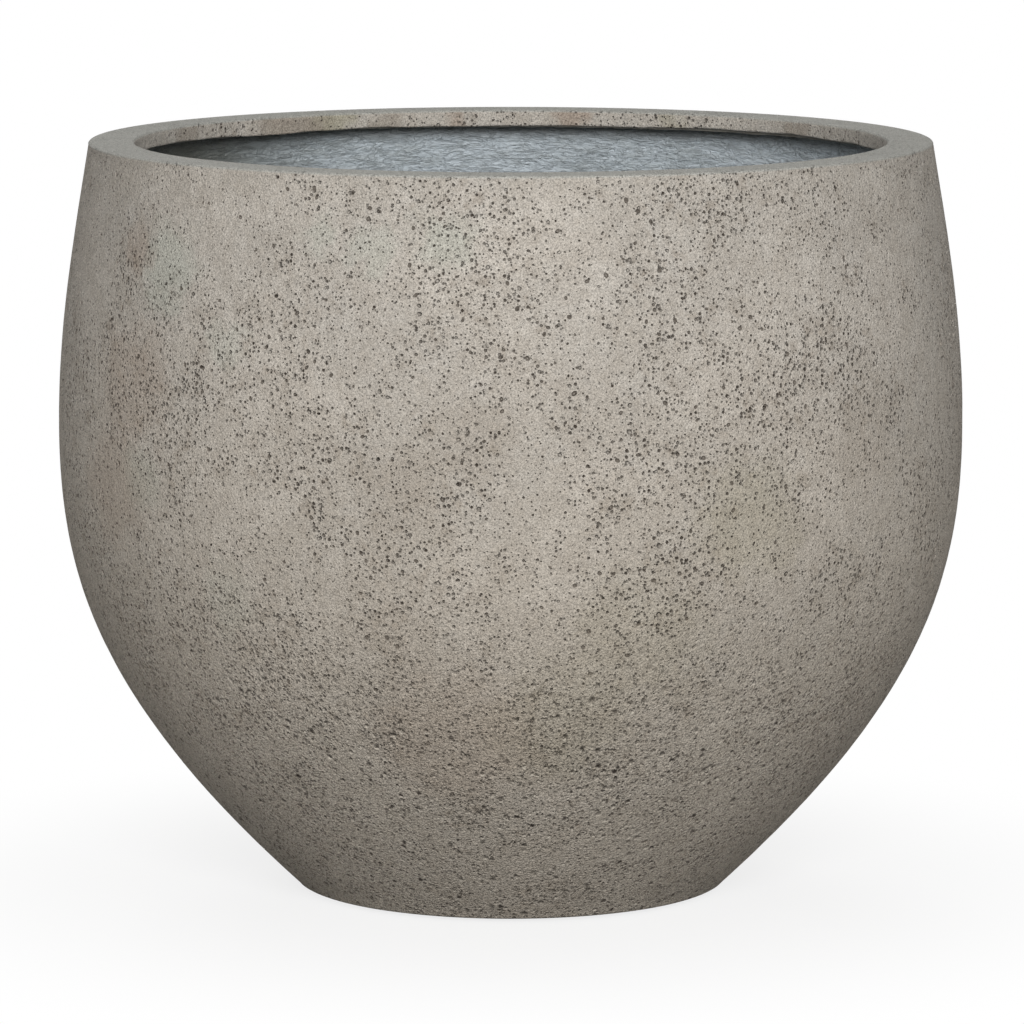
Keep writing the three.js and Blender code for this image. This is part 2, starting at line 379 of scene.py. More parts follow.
def crowding(points):
    """How crowded the pinholes are at each point, from 0 to 1: clusters with calm ground between them,
    and fewer holes towards the rim and the foot."""
    height = points[:, 2]
    middle = ramp(height, *CALM_FOOT) - 0.8 * ramp(height, *CALM_RIM)
    crowded = 0.8 * rough(points, *CLUSTERS) + 0.9 * rough(points, *KNOTS) + 0.3 * middle
    return ramp(crowded, *CROWDING_RANGE)


def sink(points):
    """How far the cast face lies below its true surface: never above it."""
    broad = ramp(rough(points, *BROAD_WAVE), -1, 1)
    fine = ramp(rough(points, *FINE_WAVE), -1, 1)
    return BROAD_WAVE_DEPTH * broad + FINE_WAVE_DEPTH * fine


def on_wall(angle, station):
    """Places on the outer face, and the inward vectors there."""
    return turned(wall_point(station, 0), angle), turned(at_station(INWARD, station), angle)


def bin_of(place):
    return tuple(np.floor(place / PIT_BIN).astype(int))


def is_clear(place, radius, gap, taken):
    """Whether a hole of this radius keeps its distance from the pits that are there already."""
    x, y, z = bin_of(place)
    for dx, dy, dz in product((-1, 0, 1), repeat=3):
        for other, other_radius in taken.get((x + dx, y + dy, z + dz), ()):
            if np.sum((place - other) ** 2) < ((radius + other_radius) * PIT_MARGIN + gap) ** 2:
                return False
    return True


def spread_pits(first, last, rng):
    """Pits of two kinds over the wall, crowded where `crowding` says: each as (angle, station, radius,
    large), and all again by the bin that they lie in, as (place, radius)."""
    area = running_sum(np.diff(TRAVELLED) * (WALL[1:, 0] + WALL[:-1, 0]) / 2)
    area_bounds = np.interp([first, last], STATION, area)
    low, high = np.interp([first, last], STATION, TRAVELLED)
    pits, taken = [], {}
    for large, count, radii in ((True, LARGE_PITS, LARGE_PIT_RADIUS), (False, SMALL_PITS, SMALL_PIT_RADIUS)):
        tries = count * PIT_TRIES
        angle = rng.random(tries) * TURN
        station = np.interp(between(area_bounds, rng.random(tries)), area, STATION)
        places, _ = on_wall(angle, station)
        chance = between((CALM_CHANCE, 1), crowding(places) ** CROWDED_POWER)
        radius = between(radii, rng.random(tries) ** WIDTH_POWER)
        keep = rng.random(tries) < chance
        travelled = np.interp(station, STATION, TRAVELLED)
        ring_radius = np.interp(station, STATION, WALL[:, 0])
        clear = radius * PIT_MARGIN + EDGE_MARGIN
        keep &= (travelled - low > clear) & (high - travelled > clear)
        keep &= (angle * ring_radius > clear) & ((TURN - angle) * ring_radius > clear)
        made = 0
        for index in np.flatnonzero(keep):
            if not is_clear(places[index], radius[index], PIT_GAP, taken):
                continue
            taken.setdefault(bin_of(places[index]), []).append((places[index], radius[index]))
            pits.append((angle[index], station[index], radius[index], large))
            made += 1
            if made == count:
                break
    return pits, taken


class WallPatch:
    """The outer wall between the foot's round and the rim's, as one triangulated patch with its pits.

    It is laid out flat by angle and by the sum of length over radius, which keeps every angle true,
    so that a round pit stays round.
    """

    def __init__(self, first, last):
        self.first, self.last = first, last
        self.flat_height = running_sum(STEP_LENGTHS * 2 / (WALL[1:, 0] + WALL[:-1, 0]))
        self.angle, self.height, self.depth, self.pit = [], [], [], []
        self.sharp = []

    def to_flat(self, station):
        return np.interp(station, STATION, self.flat_height)

    def add(self, angle, height, depth=0.0, pit=0.0):
        """Adds points and gives their numbers."""
        start = len(self.angle)
        count = len(np.atleast_1d(angle))
        columns = (self.angle, self.height, self.depth, self.pit)
        for column, value in zip(columns, (angle, height, depth, pit)):
            column.extend(np.broadcast_to(value, count))
        return np.arange(start, start + count)

    def add_edges(self):
        around = np.linspace(0, TURN, FACING_COLUMNS + 1)
        self.bottom = self.add(around, self.to_flat(self.first))
        self.top = self.add(around, self.to_flat(self.last))
        seam = self.to_flat(spaced_stations(self.first, self.last, GRID_SPACING / 2))[1:-1]
        self.seam_start = self.add(np.zeros(len(seam)), seam)
        self.seam_end = self.add(np.full(len(seam), TURN), seam)

    def add_plain_points(self, taken):
        rows = spaced_stations(self.first, self.last, GRID_SPACING * math.sqrt(3) / 2)[1:-1]
        for number, station in enumerate(rows):
            radius = float(wall_point(station, 0)[0])
            columns = round(TURN * radius / GRID_SPACING)
            angle = (np.arange(columns) + ROW_SHIFTS[number % 2]) * TURN / columns
            places, _ = on_wall(angle, np.full(columns, station))
            free = [is_clear(place, 0, PLAIN_POINT_GAP, taken) for place in places]
            self.add(angle[free], self.to_flat(station))

    def add_pit(self, angle, station, radius, large, rng):
        """A pit: its edge, for a large one a ring lower down, and its bottom."""
        scale = 1 / float(wall_point(station, 0)[0])
        height = float(self.to_flat(station))
        sides = LARGE_PIT_SIDES if large else SMALL_PIT_SIDES
        turn = np.arange(sides) * TURN / sides + rng.random() * TURN
        oval = PIT_OVAL * np.cos(2 * (turn - rng.random() * TURN))
        reach = radius * (1 + oval + PIT_UNEVEN * (rng.random(sides) - 0.5)) * scale
        depth = radius * between(PIT_DEPTH, rng.random())
        edge = self.add(angle + reach * np.cos(turn), height + reach * np.sin(turn))
        self.sharp.extend(zip(edge, np.roll(edge, -1)))
        if large:
            raised = rng.random() < RAISED_CHANCE
            inner = reach * between(INNER_RING_REACH, rng.random(sides))
            across, up = inner * np.cos(turn), inner * np.sin(turn)
            self.add(angle + across, height + up, depth * INNER_RING_DEPTH, 1)
            middle = (depth * RAISED_DEPTH, RAISED_DARKNESS) if raised else (depth, 1)
            self.add([angle], height, *middle)
        else:
            self.add([angle], height, depth, 1)

    def triangles(self):
        """Triangles of the flat layout, with the seam's two sides made one."""
        flat = [Vector(pair) for pair in zip(self.angle, self.height)]
        _, _, faces, sources, _, _ = delaunay_2d_cdt(flat, [], [], 0, SAME_PLACE)
        source = np.array([numbers[0] for numbers in sources])
        same = np.arange(len(flat))
        same[self.seam_end] = self.seam_start
        same[self.bottom[-1]] = self.bottom[0]
        same[self.top[-1]] = self.top[0]
        return same[source[np.array(faces)]]

    def places(self):
        """Where each point lies, sunk into the wall by its own depth and the casting's unevenness."""
        station = np.interp(self.height, self.flat_height, STATION)
        places, ways = on_wall(np.array(self.angle), station)
        return places + ways * (sink(places) + np.array(self.depth))[:, None]


def facing_rings():
    """The facing's outline before the wall patch and after it, and the patch's first and last stations."""
    centre, first, foot_slope = corner_of(0, BASE, FOOT_ROUND)
    below = straight((FLOOR_HOLE_RADIUS, BASE), (centre[0], BASE), BASE_ROWS)
    foot = arc(centre, FOOT_ROUND, 0, foot_slope, FOOT_ROWS)
    last = station_at_height(RIM_EDGE_ROUND, RIM - RIM_EDGE_ROUND)
    rim_centre = wall_point(last, RIM_EDGE_ROUND)
    mouth_centre = (MOUTH_RADIUS + RIM_EDGE_ROUND, RIM - RIM_EDGE_ROUND)
    lip_centre = (MOUTH_RADIUS + LIP_EDGE_ROUND, LEDGE + LIP_EDGE_ROUND)
    outer_edge = arc(rim_centre, RIM_EDGE_ROUND, slope_at(last), 180, RIM_EDGE_ROWS)
    mouth_edge = arc(mouth_centre, RIM_EDGE_ROUND, 180, 270, MOUTH_EDGE_ROWS)
    lip_edge = arc(lip_centre, LIP_EDGE_ROUND, 270, 360, LIP_EDGE_ROWS)
    top = straight(outer_edge[-1], mouth_edge[0], RIM_TOP_ROWS)
    face = straight(mouth_edge[-1], lip_edge[0], LIP_FACE_ROWS)
    back = [(LIP_OUTER_RADIUS, LEDGE), (LIP_OUTER_RADIUS, RIM_UNDERSIDE)]
    floor = BASE + FACING_THICKNESS
    inside = skin(
        FACING_THICKNESS, floor, FACING_INSIDE_ROUND, FLOOR_HOLE_RADIUS, RIM_UNDERSIDE, *FACING_BACK_STEPS
    )
    before = np.vstack([below[:-1], foot])
    after = np.vstack([outer_edge, top[1:], mouth_edge[1:], face[1:], lip_edge[1:], back, inside[::-1]])
    return before, after, first, last


def trim_lip(points):
    """Moves the turned-down face's lower edge up and down, in the rings that follow the rim's outer edge."""
    first = RIM_EDGE_ROWS + RIM_TOP_ROWS + MOUTH_EDGE_ROWS + 1
    rows = LIP_FACE_ROWS + LIP_EDGE_ROWS
    lip = points[first * FACING_COLUMNS : (first + rows) * FACING_COLUMNS]
    angle = np.mod(np.arctan2(lip[:, 1], lip[:, 0]), TURN)
    circle = turned(np.full((len(lip), 2), (MOUTH_RADIUS, 0.0)), angle)
    drop = LIP_UNEVEN * rough(circle, *LIP_WAVE) - LIP_TRIM
    for middle, half_width, deepest in LIP_STRETCHES:
        drop += deepest * np.exp(-(((angle - math.radians(middle)) / math.radians(half_width)) ** 2))
    lip[:, 2] -= drop * ramp(RIM - lip[:, 2], RIM_EDGE_ROUND, RIM_DROP - LIP_EDGE_ROUND)


def joined(first, second):
    """Quads between two rings of vertex numbers."""
    return np.stack([first, np.roll(first, -1), np.roll(second, -1), second], 1)


def make_facing(material):
    before, after, first, last = facing_rings()
    rng = np.random.default_rng(PIT_SEED)
    patch = WallPatch(first, last)
    patch.add_edges()
    pits, taken = spread_pits(first, last, rng)
    patch.add_plain_points(taken)
    for pit in pits:
        patch.add_pit(*pit, rng)

    columns = FACING_COLUMNS
    lower = turn_about_axis(before[:-1], columns)
    wall = patch.places()
    upper = turn_about_axis(after[1:], columns)
    trim_lip(upper)
    vertices = np.vstack([lower, wall, upper])
    wall_start, upper_start = len(lower), len(lower) + len(wall)
    ring = np.arange(columns)
    quads = np.vstack(
        [
            ring_faces(len(before) - 1, columns, closed=False),
            ring_faces(len(after) - 1, columns, closed=False) + upper_start,
            joined(wall_start - columns + ring, patch.bottom[:-1] + wall_start),
            joined(patch.top[:-1] + wall_start, upper_start + ring),
            joined(len(vertices) - columns + ring, ring),
        ]
    )
    triangles = patch.triangles() + wall_start
    used = np.zeros(len(vertices), bool)
    used[quads] = True
    used[triangles] = True
    renumber = np.cumsum(used) - 1
    faces = [*renumber[quads], *renumber[triangles]]
    pit = np.concatenate([np.zeros(len(lower)), patch.pit, np.zeros(len(upper))])
    piece = new_piece("cast_facing", vertices[used], faces, material)
    # The pit value sets how much painted shade the material puts in the mesh's pits.
    point_values(piece, "pit", pit[used])
    point_values(piece, "crowding", crowding(vertices[used]))
    sharpen(piece, renumber[np.array(patch.sharp) + wall_start])
    stand_for(piece, "bowl", "facing_shell")


# ---- The layers behind the facing, the drain and the pads ----

LAYER_COLUMNS = 192
LAYER_SPACING = 24 * MM
ROUND_STEPS = 6
FLOOR_STEPS = 2
EDGE_STEPS = 4
SMALL_EDGE_STEPS = 3
SAME_HEIGHT = 0.03 * MM


def make_lathe_piece(name, outline, columns, material):
    """A closed outline turned about the axis."""
    vertices = turn_about_axis(outline, columns)
    return new_piece(name, vertices, ring_faces(len(outline), columns), material)


def make_backing(material):
    steps = (RIM_UNDERSIDE - BOND_GAP, LAYER_SPACING, FLOOR_STEPS, ROUND_STEPS)
    outer_depth = FACING_THICKNESS + BOND_GAP
    outer_round = FACING_INSIDE_ROUND - BOND_GAP
    outer = skin(outer_depth, BASE + outer_depth, outer_round, FLOOR_HOLE_RADIUS, *steps)
    inner = skin(BACKING_DEPTH, BASE + BACKING_DEPTH, BACKING_INSIDE_ROUND, FLOOR_HOLE_RADIUS, *steps)
    outline = np.vstack([outer, inner[::-1]])
    piece = make_lathe_piece("laminate_backing", outline, LAYER_COLUMNS, material)
    stand_for(piece, "bowl", "fibre_backing")


CORE_COLUMNS = 320
CORE_UNDER_ROWS = 10
CORE_SIDE_ROWS = 4
CORE_LUMPS = 1.6 * MM
CORE_LUMP_NOISE = (16 * MM, 3, 4.4)
CORE_LUMP_RANGE = (-0.9, 0.9)
CORE_CALM_BY_COAT = mm(2, 8)
CORE_CALM_BY_LIP = (0, 3 * MM)


def make_rim_core(material):
    """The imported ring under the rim, left rough underneath where the hand trowelled it."""
    depth = BACKING_DEPTH + BOND_GAP
    top = RIM_UNDERSIDE - BOND_GAP
    inner_radius = LIP_OUTER_RADIUS + BOND_GAP
    low, high = station_at_height(depth, LEDGE), station_at_height(depth, top)
    side = wall_point(np.linspace(low, high, CORE_SIDE_ROWS), depth)
    underside = straight((inner_radius, LEDGE), side[0], CORE_UNDER_ROWS)
    outline = np.vstack([underside, side[1:], [(inner_radius, top)]])
    vertices = turn_about_axis(outline, CORE_COLUMNS)
    radius = np.hypot(vertices[:, 0], vertices[:, 1])
    coat_edge = wall_point(low, COATING_DEPTH + COATING_THICKNESS)[0]
    free = ramp(coat_edge - radius, *CORE_CALM_BY_COAT) * ramp(radius - inner_radius, *CORE_CALM_BY_LIP)
    lumps = ramp(rough(vertices, *CORE_LUMP_NOISE), *CORE_LUMP_RANGE)
    under = np.abs(vertices[:, 2] - LEDGE) < SAME_HEIGHT
    vertices[under, 2] -= (CORE_LUMPS * lumps * free)[under]
    piece = new_piece("packed_rim_core", vertices, ring_faces(len(outline), CORE_COLUMNS), material)
    stand_for(piece, "bowl", "rim_core")


COAT_COLUMNS = 320
COAT_BACK_STEPS = (3, 3)  # on the floor and in the corner
COAT_FLOOR_STEPS = 22
UPPER_BAND = 70 * MM  # below the ledge, where the inside shows past the front of the rim
UPPER_SPACING = 1.7 * MM
MIDDLE_BAND = 180 * MM
MIDDLE_SPACING = 4 * MM
LOWER_SPACING = 9 * MM

WRINKLE = 2.2 * MM
FINE_WRINKLE = 0.8 * MM
# The coat's noises: size, octaves, shift and how much shorter the humps are upwards.
LEVEL_RIDGES = (30 * MM, 1, 6.1, (1, 1, 5.0))
CROSSED_RIDGES = (17 * MM, 1, 2.7, (1, 1, 3.4))
FINE_RIDGES = (7 * MM, 2, 9.9, (1, 1, 2.2))
RIDGE_CLUSTERS = (80 * MM, 2, 7.7)
RIDGE_CLUSTER_RANGE = (-0.9, 0.5)
RIDGE_NARROWNESS = 3
LEVEL_SHARE = 0.6
CALM_BY_DRAIN = mm(4, 25)  # beyond the flange
CALM_ON_FLOOR = 0.6


def ridges(points, settings):
    """Narrow ridges, 1 along their crests and 0 between them."""
    return np.clip(1 - np.abs(rough(points, *settings)) * RIDGE_NARROWNESS, 0, 1)


def wrinkles(points):
    """The hand-laid coat's ridges: long and level on the wall, rounder on the floor."""
    level, crossed = ridges(points, LEVEL_RIDGES), ridges(points, CROSSED_RIDGES)
    high = level * LEVEL_SHARE + crossed * (1 - LEVEL_SHARE)
    clusters = ramp(rough(points, *RIDGE_CLUSTERS), *RIDGE_CLUSTER_RANGE)
    fine = ramp(rough(points, *FINE_RIDGES), -1, 1)
    return WRINKLE * high * clusters + FINE_WRINKLE * fine


def coat_wall_stations(depth, first, top):
    """Stations up the wall, close together near the ledge."""
    bands = ((top - MIDDLE_BAND, LOWER_SPACING), (top - UPPER_BAND, MIDDLE_SPACING), (top, UPPER_SPACING))
    stations = [np.array([first])]
    for height, spacing in bands:
        last = station_at_height(depth, height)
        stations.append(spaced_stations(stations[-1][-1], last, spacing)[1:])
    return np.concatenate(stations)


def coat_relief(points):
    """Moves of the coat's face away from the wall and the floor."""
    radius = np.hypot(points[:, 0], points[:, 1])
    station = np.interp(points[:, 2], WALL[:, 1], STATION)
    inward = at_station(INWARD, station)
    on_floor = ramp(COATING_TOP + COATING_INSIDE_ROUND - points[:, 2], 0, COATING_INSIDE_ROUND)
    across = inward[:, 0] * (1 - on_floor)
    upward = inward[:, 1] * (1 - on_floor) + on_floor
    calm = ramp(radius - FLANGE_RADIUS, *CALM_BY_DRAIN)
    height = wrinkles(points) * calm * (1 - CALM_ON_FLOOR * on_floor)
    ways = np.stack([across * points[:, 0] / radius, across * points[:, 1] / radius, upward], 1)
    return ways * height[:, None]


def make_coating(material):
    top = LEDGE - BOND_GAP
    face_depth = COATING_DEPTH + COATING_THICKNESS
    face_round = COATING_INSIDE_ROUND - COATING_THICKNESS
    seat_inner = FLANGE_RADIUS + SEAT_CLEARANCE
    seat_outer = seat_inner + COATING_THICKNESS
    seat_under, seat_top = COATING_FLOOR - SEAT_DEPTH, COATING_TOP - SEAT_DEPTH
    steps = (top, LAYER_SPACING, *COAT_BACK_STEPS)
    back = skin(COATING_DEPTH, COATING_FLOOR, COATING_INSIDE_ROUND, seat_outer, *steps)
    centre, first, slope = corner_of(face_depth, COATING_TOP, face_round)
    floor = straight((seat_inner, COATING_TOP), (centre[0], COATING_TOP), COAT_FLOOR_STEPS)
    corner = arc(centre, face_round, 0, slope, ROUND_STEPS)
    wall = wall_point(coat_wall_stations(face_depth, first, top), face_depth)
    face = np.vstack([floor[:-1], corner[:-1], wall])
    seat_start = [(FLOOR_HOLE_RADIUS, seat_under), (seat_outer, seat_under)]
    seat_end = [(seat_inner, seat_top), (FLOOR_HOLE_RADIUS, seat_top)]
    outline = np.vstack([seat_start, back, face[::-1], seat_end])
    vertices = turn_about_axis(outline, COAT_COLUMNS)
    hidden = len(seat_start) + len(back)
    shown = slice(hidden * COAT_COLUMNS, (hidden + len(face)) * COAT_COLUMNS)
    vertices[shown] += coat_relief(vertices[shown])
    piece = new_piece("waterproof_coat", vertices, ring_faces(len(outline), COAT_COLUMNS), material)
    stand_for(piece, "bowl", "inner_coating")


SLEEVE_COLUMNS = 96
SLEEVE_EDGE = 0.8 * MM
FLANGE_UNDERSIDE = COATING_TOP - SEAT_DEPTH + BOND_GAP
FLANGE_TOP = FLANGE_UNDERSIDE + FLANGE_THICKNESS


def make_sleeve(material):
    edge = SLEEVE_EDGE
    outline = np.vstack(
        [
            [(SLEEVE_BORE_RADIUS, BASE), (SLEEVE_RADIUS, BASE)],
            [(SLEEVE_RADIUS, FLANGE_UNDERSIDE), (FLANGE_RADIUS, FLANGE_UNDERSIDE)],
            arc((FLANGE_RADIUS - edge, FLANGE_TOP - edge), edge, 90, 180, EDGE_STEPS),
            arc((SLEEVE_BORE_RADIUS + edge, FLANGE_TOP - edge), edge, 180, 270, EDGE_STEPS),
        ]
    )
    piece = make_lathe_piece("drain_sleeve_moulding", outline, SLEEVE_COLUMNS, material)
    stand_for(piece, "bowl", "drain_sleeve")


PLUG_COLUMNS = 64
PLUG_EDGE = 1.2 * MM
PLUG_HEAD_EDGE = 2.6 * MM
PLUG_HEAD_CROWN = 2.2 * MM
PLUG_DOME_ROWS = 9
PLUG_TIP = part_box("drain_plug")[0].z
PLUG_HEAD_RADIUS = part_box("drain_plug")[1].x
PLUG_STEM_RADIUS = 12.6 * MM
PLUG_STEM_TAPER = 1.2 * MM
PLUG_SEAT = FLANGE_TOP + BOND_GAP
GRIP_RADIUS = 11 * MM
GRIP_HALF_THICKNESS = 2.5 * MM
GRIP_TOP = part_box("drain_plug")[1].z
GRIP_EDGE = 1 * MM
GRIP_RING_STEPS = 40
GRIP_EDGE_SLOPES = (0, 30, 60, 90)  # in degrees, over one side's edge


def closed_lathe(outline, columns):
    """Vertices and faces of an outline that starts and ends on the axis."""
    rings = outline[1:-1]
    vertices = turn_about_axis(rings, columns)
    faces = [tuple(face) for face in ring_faces(len(rings), columns, closed=False)]
    bottom, top = len(vertices), len(vertices) + 1
    last = (len(rings) - 1) * columns
    for column in range(columns):
        following = (column + 1) % columns
        faces.append((bottom, following, column))
        faces.append((top, last + column, last + following))
    ends = np.array([(0, 0, outline[0][1]), (0, 0, outline[-1][1])])
    return np.vstack([vertices, ends]), faces


def grip_shell():
    """The thumb grip: a plate with straight sides and a half-round top, its edges rounded."""
    centre = GRIP_TOP - GRIP_RADIUS
    root = PLUG_SEAT + PLUG_HEAD_EDGE
    turn = np.linspace(0, math.pi, GRIP_RING_STEPS)
    front = [(1, slope) for slope in GRIP_EDGE_SLOPES]
    back = [(-1, slope) for slope in GRIP_EDGE_SLOPES[::-1]]
    loops = []
    for side, slope in front + back:
        lean = math.radians(slope)
        across = side * (GRIP_HALF_THICKNESS - GRIP_EDGE + GRIP_EDGE * math.cos(lean))
        reach = GRIP_RADIUS - GRIP_EDGE + GRIP_EDGE * math.sin(lean)
        x = np.concatenate([[reach], reach * np.cos(turn), [-reach]])
        z = np.concatenate([[root], centre + reach * np.sin(turn), [root]])
        loops.append(np.stack([x, np.full(len(x), across), z], 1))
    count = len(loops[0])
    faces = [tuple(face) for face in ring_faces(len(loops), count, closed=False)]
    faces.append(tuple(range(count))[::-1])
    faces.append(tuple(range((len(loops) - 1) * count, len(loops) * count)))
    return np.vstack(loops), faces


def make_plug(material):
    edge, small_edge = PLUG_EDGE, PLUG_EDGE / 2
    head_top = PLUG_SEAT + PLUG_HEAD_EDGE
    share = np.linspace(1, 0, PLUG_DOME_ROWS)
    dome_height = head_top + PLUG_HEAD_CROWN - PLUG_HEAD_CROWN * share**2
    dome = np.stack([(PLUG_HEAD_RADIUS - edge) * share, dome_height], 1)
    tip_radius = PLUG_STEM_RADIUS - PLUG_STEM_TAPER
    under_head = (PLUG_HEAD_RADIUS - small_edge, PLUG_SEAT + small_edge)
    outline = np.vstack(
        [
            [(0, PLUG_TIP)],
            arc((tip_radius - edge, PLUG_TIP + edge), edge, 0, 90, EDGE_STEPS),
            [(PLUG_STEM_RADIUS, PLUG_SEAT)],
            arc(under_head, small_edge, 0, 90, SMALL_EDGE_STEPS),
            arc((PLUG_HEAD_RADIUS - edge, head_top - edge), edge, 90, 180, EDGE_STEPS),
            dome[1:],
        ]
    )
    body = new_piece("drain_stopper", *closed_lathe(outline, PLUG_COLUMNS), material)
    grip = new_piece("stopper_grip", *grip_shell(), material)
    union = body.modifiers.new("grip", "BOOLEAN")
    union.operation = "UNION"
    union.object = grip
    united = bpy.data.meshes.new_from_object(body.evaluated_get(bpy.context.evaluated_depsgraph_get()))
    body.modifiers.clear()
    body.data = united
    bpy.data.objects.remove(grip)
    stand_for(body, "plug", "drain_plug")


PAD_COUNT = 4
PAD_COLUMNS = 64
PAD_EDGE = 0.8 * MM


def make_pads(material):
    edge, small_edge = PAD_EDGE, PAD_EDGE / 2
    for number in range(1, PAD_COUNT + 1):
        node = f"floor_pad_{number}"
        low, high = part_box(node)
        radius = (high.x - low.x) / 2
        outline = np.vstack(
            [
                [(0, low.z)],
                arc((radius - edge, low.z + edge), edge, 0, 90, EDGE_STEPS),
                arc((radius - small_edge, high.z - small_edge), small_edge, 90, 180, SMALL_EDGE_STEPS),
                [(0, high.z)],
            ]
        )
        vertices, faces = closed_lathe(outline, PAD_COLUMNS)
        vertices += ((low.x + high.x) / 2, (low.y + high.y) / 2, 0)
        piece = new_piece(f"rubber_pad_{number}", vertices, faces, material)
        stand_for(piece, "bowl", node)


# ---- Materials ----


def srgb(red, green, blue):
    """A colour as a screen shows it, 0 to 255 each, as linear light with alpha."""
    shares = [value / 255 for value in (red, green, blue)]
    return [s / 12.92 if s <= 0.04045 else ((s + 0.055) / 1.055) ** 2.4 for s in shares] + [1.0]


class Nodes:
    """A node tree being built. Each method adds nodes and gives an output."""

    def __init__(self, tree):
        self.tree = tree

    def feed(self, socket, value):
        if isinstance(value, bpy.types.NodeSocket):
            self.tree.links.new(value, socket)
        else:
            socket.default_value = value

    def node(self, kind, inputs=(), **settings):
        """A node with its settings, and with links or values for its inputs by number or name."""
        made = self.tree.nodes.new(kind)
        for name, value in settings.items():
            setattr(made, name, value)
        for key, value in inputs.items() if isinstance(inputs, dict) else enumerate(inputs):
            self.feed(made.inputs[key], value)
        return made.outputs

    def math(self, operation, first, second=0.0, third=0.0):
        return self.node("ShaderNodeMath", (first, second, third), operation=operation)[0]

    def most(self, first, second):
        return self.math("MAXIMUM", first, second)

    def seen_directly(self):
        """1 for rays that show the background: the camera's, and mirrored and refracted ones."""
        path = self.node("ShaderNodeLightPath")
        seen = self.most(path["Is Camera Ray"], path["Is Glossy Ray"])
        return self.most(seen, path["Is Transmission Ray"])

    def either(self, share, first, second):
        return self.node("ShaderNodeMixShader", (share, first, second))[0]


class Finish(Nodes):
    """A material being built."""

    def __init__(self, name, roughness):
        self.material = bpy.data.materials.new(name)
        self.material.use_nodes = True
        super().__init__(self.material.node_tree)
        self.shader = self.tree.nodes["Principled BSDF"].inputs
        self.shader["Roughness"].default_value = roughness
        self.place = self.node("ShaderNodeTexCoord")["Object"]

    def vector(self, operation, *values):
        return self.node("ShaderNodeVectorMath", values, operation=operation)

    def stretched(self, x, y, z):
        """The place with its axes scaled, which draws a pattern out along the smaller ones."""
        return self.vector("MULTIPLY", self.place, (x, y, z))[0]

    def noise(self, size, detail=2.0, roughness=0.5, place=None, distortion=0.0, output="Fac"):
        """Cloudy noise from 0 to 1 with humps about `size` across."""
        inputs = {"Vector": place or self.place, "Scale": 1 / size, "Detail": detail}
        inputs |= {"Roughness": roughness, "Distortion": distortion}
        return self.node("ShaderNodeTexNoise", inputs)[output]

    def cells(self, size, place):
        """A crowd of points about `size` apart: the distance to the nearest one, as a share of `size`,
        three chance numbers that belong to it, and where it lies."""
        made = self.node("ShaderNodeTexVoronoi", {"Vector": place, "Scale": 1 / size})
        chances = self.node("ShaderNodeSeparateColor", [made["Color"]])
        return made["Distance"], chances, made["Position"]

    def ruffled(self, size, amount, tall=1.0):
        """The place moved about by noise, which makes round things uneven, and drawn out upwards."""
        moves = self.noise(size, output="Color")
        return self.vector("MULTIPLY_ADD", moves, (amount, amount, amount), self.stretched(1, 1, 1 / tall))[0]

    def distance_from(self, point, place=None):
        return self.vector("DISTANCE", place or self.place, point)["Value"]

    def attribute(self, name):
        return self.node("ShaderNodeAttribute", attribute_name=name)["Fac"]

    def upward(self, vector):
        return self.node("ShaderNodeSeparateXYZ", [vector])["Z"]

    def times(self, first, second):
        return self.math("MULTIPLY", first, second)

    def line(self, value, slope, start):
        """The value times the slope, plus the start."""
        return self.math("MULTIPLY_ADD", value, slope, start)

    def step(self, value, low, high, start=0.0, end=1.0):
        """A smooth step from start to end as the value goes from low to high."""
        inputs = (value, low, high, start, end)
        return self.node("ShaderNodeMapRange", inputs, interpolation_type="SMOOTHSTEP")[0]

    def mix(self, share, first, second, blend="MIX"):
        inputs = {0: share, 6: first, 7: second}
        return self.node("ShaderNodeMix", inputs, data_type="RGBA", blend_type=blend)[2]

    def tinted(self, colour, share, tone):
        """The colour with a share of this tone over it."""
        return self.mix(share, colour, srgb(*tone))

    def bump(self, *heights):
        """Relief by the sum of (height, amount in metres) pairs."""
        summed = 0.0
        for value, amount in heights:
            summed = self.line(value, amount, summed)
        inputs = {"Strength": 1.0, "Distance": 1.0, "Height": summed}
        self.feed(self.shader["Normal"], self.node("ShaderNodeBump", inputs)[0])

    def finish(self, colour, roughness=None, specular=0.5):
        self.feed(self.shader["Base Color"], colour)
        if roughness is not None:
            self.feed(self.shader["Roughness"], roughness)
        self.shader["Specular IOR Level"].default_value = specular
        return self.material


# Pinholes too small for the mesh, in layers: spacing, least and greatest radius, least and greatest darkness
# of their painted shade.
HOLE_LAYERS = (
    (*mm(3.3, 0.45, 0.9), 0.3, 0.9),
    (*mm(4.2, 0.8, 1.75), 0.5, 1.0),
    (*mm(9.0, 1.0, 2.4), 0.1, 0.4),
)
HOLE_CROWDING = (0.65, 0.6)  # how much wider the crowded ones are, and the width of the others
HOLE_FLOOR = 0.45  # where a hole is fully dark, of its radius

# Dents: spacing, least and greatest radius, depth.
DENT_LAYERS = (mm(7.5, 1.6, 4.0, 2.4), mm(3.9, 0.9, 2.2, 1.6))
DENT_TALL = 1.7
DENT_FLOOR = 0.5
# Painted shade on each dent's upper side and a painted highlight on its lower edge, by the rise above its
# middle.
DENT_SHADE = (-0.3, 0.3)  # from none to full, by the rise above the dent's middle
DENT_SHINE = (-0.2, -0.7)

